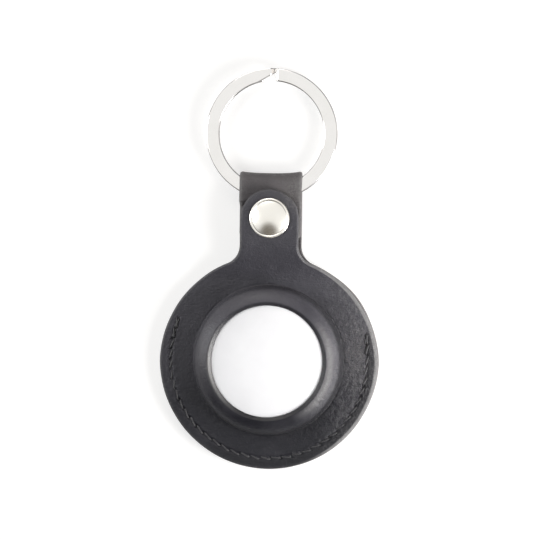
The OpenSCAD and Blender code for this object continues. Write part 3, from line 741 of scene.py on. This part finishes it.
def seam(name, surface_z, out_sign, nodes_for):
    """Slanted stitches from hole to hole. On the front, where out_sign is 1, a few go back over
    the seam at its ends."""
    rng = np.random.default_rng(21 if out_sign > 0 else 22)
    pitch = SEAM_SPAN / STITCHES
    stitches = [(SEAM_FROM + i * pitch, SEAM_FROM + (i + 1) * pitch, 0.24, 0.0)
                for i in range(STITCHES)]
    if out_sign > 0:
        for end, way in ((SEAM_FROM, 1), (SEAM_FROM + SEAM_SPAN, -1)):
            stitches += [(end + way * k * pitch, end + way * (k + 1) * pitch, slant,
                          0.14 + 0.08 * k) for k, slant in ((0, -0.38), (1, -0.30), (0, 0.05))]
    points, faces = [], []
    for a0, a1, slant, lift in stitches:
        slant = slant * rng.uniform(0.7, 1.3)
        swing = rng.uniform(-0.09, 0.09)
        path = []
        for t in np.linspace(0, 1, 15):
            at = a0 + (a1 - a0) * t
            r = seam_line(at - SEAM_FROM) + swing + slant * (2 * ease(t) - 1)
            z = surface_z + out_sign * (lift + 0.03 - 0.55 * abs(2 * t - 1) ** 5)
            path.append((*(r * unit(at)), z))
        tube, quads = stitch_tube(path, THREAD_R * rng.uniform(0.92, 1.06))
        faces += [[v + len(points) * len(tube) for v in quad] for quad in quads]
        points.append(tube)
    points = np.concatenate(points)
    made = piece(name, points, faces, THREAD, vectors={"flat": points})
    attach(made, "pouch")
    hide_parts(nodes_for)


SUNK = 0.09
seam("front_stitching", FRONT_Z - SUNK, 1, "needle_thread")
seam("back_stitching", SUNK, -1, "bobbin_thread")


# ---------------------------------------------------------------- snap cap

def snap_cap():
    """The cap from its shank up: the rolled edge, the crease inside it, and the crown."""
    cap_r, high, sheet, steps = 4.575, 1.15, 0.3, 144
    shank_r, shank_l, bead, bead_w = 1.0, 1.2, 0.24, 0.34
    crown_r, crown_z = cap_r - 2 * bead_w + 0.04, bead * 1.4
    profile = [(shank_r, -shank_l), (cap_r - 2 * sheet, -0.02)]
    profile += [(cap_r + (x - bead) * bead_w / bead, z)
                for x, z in arc(0, bead, bead, -70, 150, 22)]
    profile += [(crown_r * k, crown_z + (high - crown_z) * (1 - k * k))
                for k in 1 - 0.98 * np.linspace(0, 1, 40) ** 1.6]
    # The value side carries painted shade in the crease inside the rolled edge.
    shaded_crease = [0.42 * math.exp(-((r - crown_r) / 0.08) ** 2) * (z > bead) for r, z in profile]
    made = piece("snap_cap_dome", revolve(profile, steps) + [0, SNAP_Y, TAB_Z],
                 tube_faces(len(profile), steps), SNAP,
                 values={"side": np.repeat(shaded_crease, steps)})
    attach(made, "flap")
    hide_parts("snap_cap")


snap_cap()


# ---------------------------------------------------------------- split ring

def bar_section(r_in, r_out, low, high, corner):
    """Section of the flat wire with rounded corners, as radius and height, anticlockwise."""
    corners = [arc(cx, cz, corner, a0, a0 + 90, 5)
               for cx, cz, a0 in ((r_out - corner, high - corner, 0),
                                  (r_in + corner, high - corner, 90),
                                  (r_in + corner, low + corner, 180),
                                  (r_out - corner, low + corner, 270))]
    parts = []
    for k, bow in enumerate(corners):
        parts.append(bow)
        following = corners[(k + 1) % 4][0]
        parts.append(bow[-1] + (following - bow[-1]) * np.linspace(0, 1, 4)[1:-1, None])
    return np.concatenate(parts)


def split_ring():
    """One wire in two turns: lower turn, the crank that narrows towards the outside, and upper
    turn. The angles run on along the wire."""
    lower_start, crank_from, crank_to, upper_end = 100.0, 445.6, 466.6, 805.4
    rise_from, rise_span, corner, tip_w = 446.5, 5.5, 0.28, 1.0
    angles = np.concatenate([
        np.linspace(lower_start, crank_from - 0.8, 230),
        np.linspace(crank_from, crank_from + 1.6, 6),
        np.linspace(crank_from + 2.2, crank_to, 40),
        np.linspace(crank_to + 1.5, upper_end, 226)])
    # The crank's inner side is a chord, from the wire's full width to a narrow tip.
    near, tip = RING_IN * unit(crank_to), (RING_OUT - tip_w) * unit(crank_from + 1.4)
    chord = tip - near
    rings, side = [], []
    for k, a in enumerate(angles):
        z = RING_Z + (RING_T + TURN_GAP) * ease((a - rise_from) / rise_span)
        inner, along = RING_IN, unit(a)
        if crank_from <= a <= crank_to:
            inner = ((near[0] * chord[1] - near[1] * chord[0])
                     / (along[0] * chord[1] - along[1] * chord[0]))
            inner = RING_IN + (inner - RING_IN) * ease((a - crank_from) / 1.6)
        section = bar_section(inner, RING_OUT, z, z + RING_T, corner)
        # The value side marks the wire's narrow sides, for a painted dark reflection there.
        from_mid = np.abs(section[:, 1] - z - RING_T / 2) / (RING_T / 2)
        side.append(1 - ease((from_mid - 0.76) / 0.20))
        end = min(k, len(angles) - 1 - k)
        if end < 2:
            mid = section.mean(0)
            section = mid + (section - mid) * (0.965, 0.986)[end]
        rings.append(np.stack([section[:, 0] * along[0], section[:, 0] * along[1],
                               section[:, 1]], 1))
    made = piece("split_ring_wire", np.concatenate(rings) + [0, RING_Y, 0],
                 tube_faces(len(rings), len(rings[0]), flip=True), RING,
                 values={"side": np.concatenate(side)})
    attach(made, "ring")
    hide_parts("split_ring")


split_ring()


# ---------------------------------------------------------------- tag shell

def tag_shell():
    """The white shell of the tag: its outside from the pole down, and its inside back up."""
    wall, pole, steps = 1.0, 0.02, 180
    outer = TAG_R * np.sin(np.linspace(pole, math.pi / 2, 60))
    inner = (TAG_R - wall) * np.sin(np.linspace(math.pi / 2, pole, 40))
    profile = [(r, RIM_Z + superellipse(TAG_R, TAG_RISE, DOME_POWER, r)) for r in outer]
    profile += [(r, RIM_Z + superellipse(TAG_R - wall, TAG_RISE - wall, DOME_POWER, r))
                for r in inner]
    made = piece("tag_shell_white", revolve(profile, steps),
                 tube_faces(len(profile), steps, flip=True), WHITE)
    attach(made, "tag")
    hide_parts("tag_shell")


tag_shell()


# ---------------------------------------------------------------- carried-over nodes

for node, material in {"snap_socket": SNAP, "snap_stud": SNAP, "snap_post": SNAP,
                       "socket_spring": SPRING, "tag_frame": FRAME_WHITE, "circuit_board": BOARD,
                       "speaker_coil": COPPER, "battery_contacts": COPPER,
                       "speaker_magnet": MAGNET, "coin_cell": CELL,
                       "battery_cover": COVER}.items():
    mesh = frame["nodes"][node].data
    mesh.materials.clear()
    mesh.materials.append(material)


# ---------------------------------------------------------------- floor, world and lights

def floor():
    """White with the holder's shadow to the camera and in reflections, paper to other light."""
    mesh = bpy.data.meshes.new("floor")
    z, side = FLOOR_Z * MM, FLOOR_HALF * MM
    mesh.from_pydata([(-side, -side, z), (side, -side, z), (side, side, z), (-side, side, z)],
                     [], [(0, 1, 2, 3)])
    n = Nodes("white_floor")
    paths = n.add("LightPath")
    seen = n.math("MAXIMUM", paths.outputs["Is Camera Ray"], n.math(
        "MAXIMUM", paths.outputs["Is Glossy Ray"], paths.outputs["Is Transmission Ray"]))
    grain = n.noise(n.place(), 0.02, 2.0)
    paper = n.add("BsdfDiffuse", Color=n.mix(n.span(grain, 0.3, 0.7), rgb(0.80, 0.80, 0.80),
                                             rgb(0.81, 0.805, 0.80)))
    bright = n.add("BsdfDiffuse", Color=rgb(0.58, 0.574, 0.562))
    glow = n.add("Emission", Color=rgb(1, 1, 1), Strength=0.59)
    lit = n.add("AddShader", i0=bright, i1=glow)
    both = n.add("MixShader", i0=seen, i1=paper, i2=lit)
    out = n.add("OutputMaterial")
    n.tree.links.new(both.outputs[0], out.inputs[0])
    mesh.materials.append(n.owner)
    made = bpy.data.objects.new("floor", mesh)
    scene.collection.objects.link(made)


def world():
    """White to the camera. To metal, a white room with darker places low down, and one higher
    up that the cap shows as its spot."""
    n = Nodes("", bpy.data.worlds.new("studio"))
    scene.world = n.owner
    paths = n.add("LightPath")
    direction = n.add("TexCoord").outputs["Generated"]

    def lobe(azimuth, elevation, width):
        """A soft round place in the room, by the angles of its middle and half its width."""
        (x, y), (level, up) = unit(azimuth), unit(elevation)
        cos = n.vector_math("DOT_PRODUCT", direction, (x * level, y * level, up))
        return n.span(cos, math.cos(math.radians(width)), math.cos(math.radians(width * 0.45)),
                      0, 1, True)

    dark = n.math("MAXIMUM", lobe(45, 10, 40), lobe(235, 6, 46))
    dark = n.math("MAXIMUM", dark, lobe(305, 6, 34))
    warm = n.math("MAXIMUM", lobe(180, 8, 34), lobe(0, 2, 26))
    cap_spot = lobe(262, 54, 28)
    room = n.mix(warm, rgb(0.97, 0.97, 0.96), rgb(0.93, 0.86, 0.80))
    room = n.mix(cap_spot, room, rgb(0.18, 0.162, 0.137))
    room = n.mix(dark, room, rgb(0.045, 0.045, 0.055))
    glossy = n.add("Background", Color=room, Strength=1.0)
    plain = n.add("Background", Color=rgb(1, 0.99, 0.98), Strength=0.18)
    white = n.add("Background", Color=rgb(1, 1, 1), Strength=1.0)
    reflected = n.add("MixShader", i0=paths.outputs["Is Glossy Ray"], i1=plain, i2=glossy)
    seen = n.math("MAXIMUM", paths.outputs["Is Camera Ray"], paths.outputs["Is Transmission Ray"])
    both = n.add("MixShader", i0=seen, i1=reflected, i2=white)
    out = n.add("OutputWorld")
    n.tree.links.new(both.outputs[0], out.inputs[0])


def softbox(name, place, aim, size, power, colour):
    """A rectangular lamp at a place in millimetres, turned towards its aim."""
    data = bpy.data.lights.new(name, "AREA")
    data.shape = "RECTANGLE"
    data.size, data.size_y = size[0] * MM, size[1] * MM
    data.energy = power
    data.color = colour
    made = bpy.data.objects.new(name, data)
    made.location = Vector(place) * MM
    toward = Vector(aim) * MM - made.location
    made.rotation_mode = "QUATERNION"
    made.rotation_quaternion = toward.to_track_quat("-Z", "Y")
    scene.collection.objects.link(made)


floor()
world()
softbox("key", (233, -82, 112), (5, 5, 2), (140, 160), 0.90, (1.0, 0.99, 0.985))
softbox("near", (80, -8, 54), (12, 0, 2), (44, 60), 0.024, (1.0, 0.99, 0.985))
softbox("top", (-70, 310, 190), (0, 25, 2), (240, 120), 0.28, (1.0, 0.95, 0.90))
softbox("left", (-290, 60, 170), (-5, 10, 2), (120, 220), 0.58, (0.96, 0.98, 1.0))


# ---------------------------------------------------------------- camera

def camera():
    """The photo's view: from nearly straight above, with a slight roll."""
    data = bpy.data.cameras.new("camera")
    data.sensor_width = 36.0
    data.lens = 203.9
    data.clip_start, data.clip_end = 0.01, 20
    made = bpy.data.objects.new("camera", data)
    scene.collection.objects.link(made)
    scene.camera = made
    target, distance = Vector((-0.03, 20.57, 1.2)) * MM, 0.7
    tilt, lean, roll = math.radians(3.99), math.radians(1.65), math.radians(0.84)
    away = Vector((math.sin(tilt) * math.cos(lean), math.sin(lean),
                   math.cos(tilt) * math.cos(lean)))
    right = Vector((0, 1, 0)).cross(away).normalized()
    turn = Matrix((right, away.cross(right), away)).transposed()
    made.rotation_mode = "QUATERNION"
    made.rotation_quaternion = (turn @ Matrix.Rotation(roll, 3, "Z")).to_quaternion()
    made.location = target + away * distance


camera()
scene.view_settings.view_transform = "Standard"
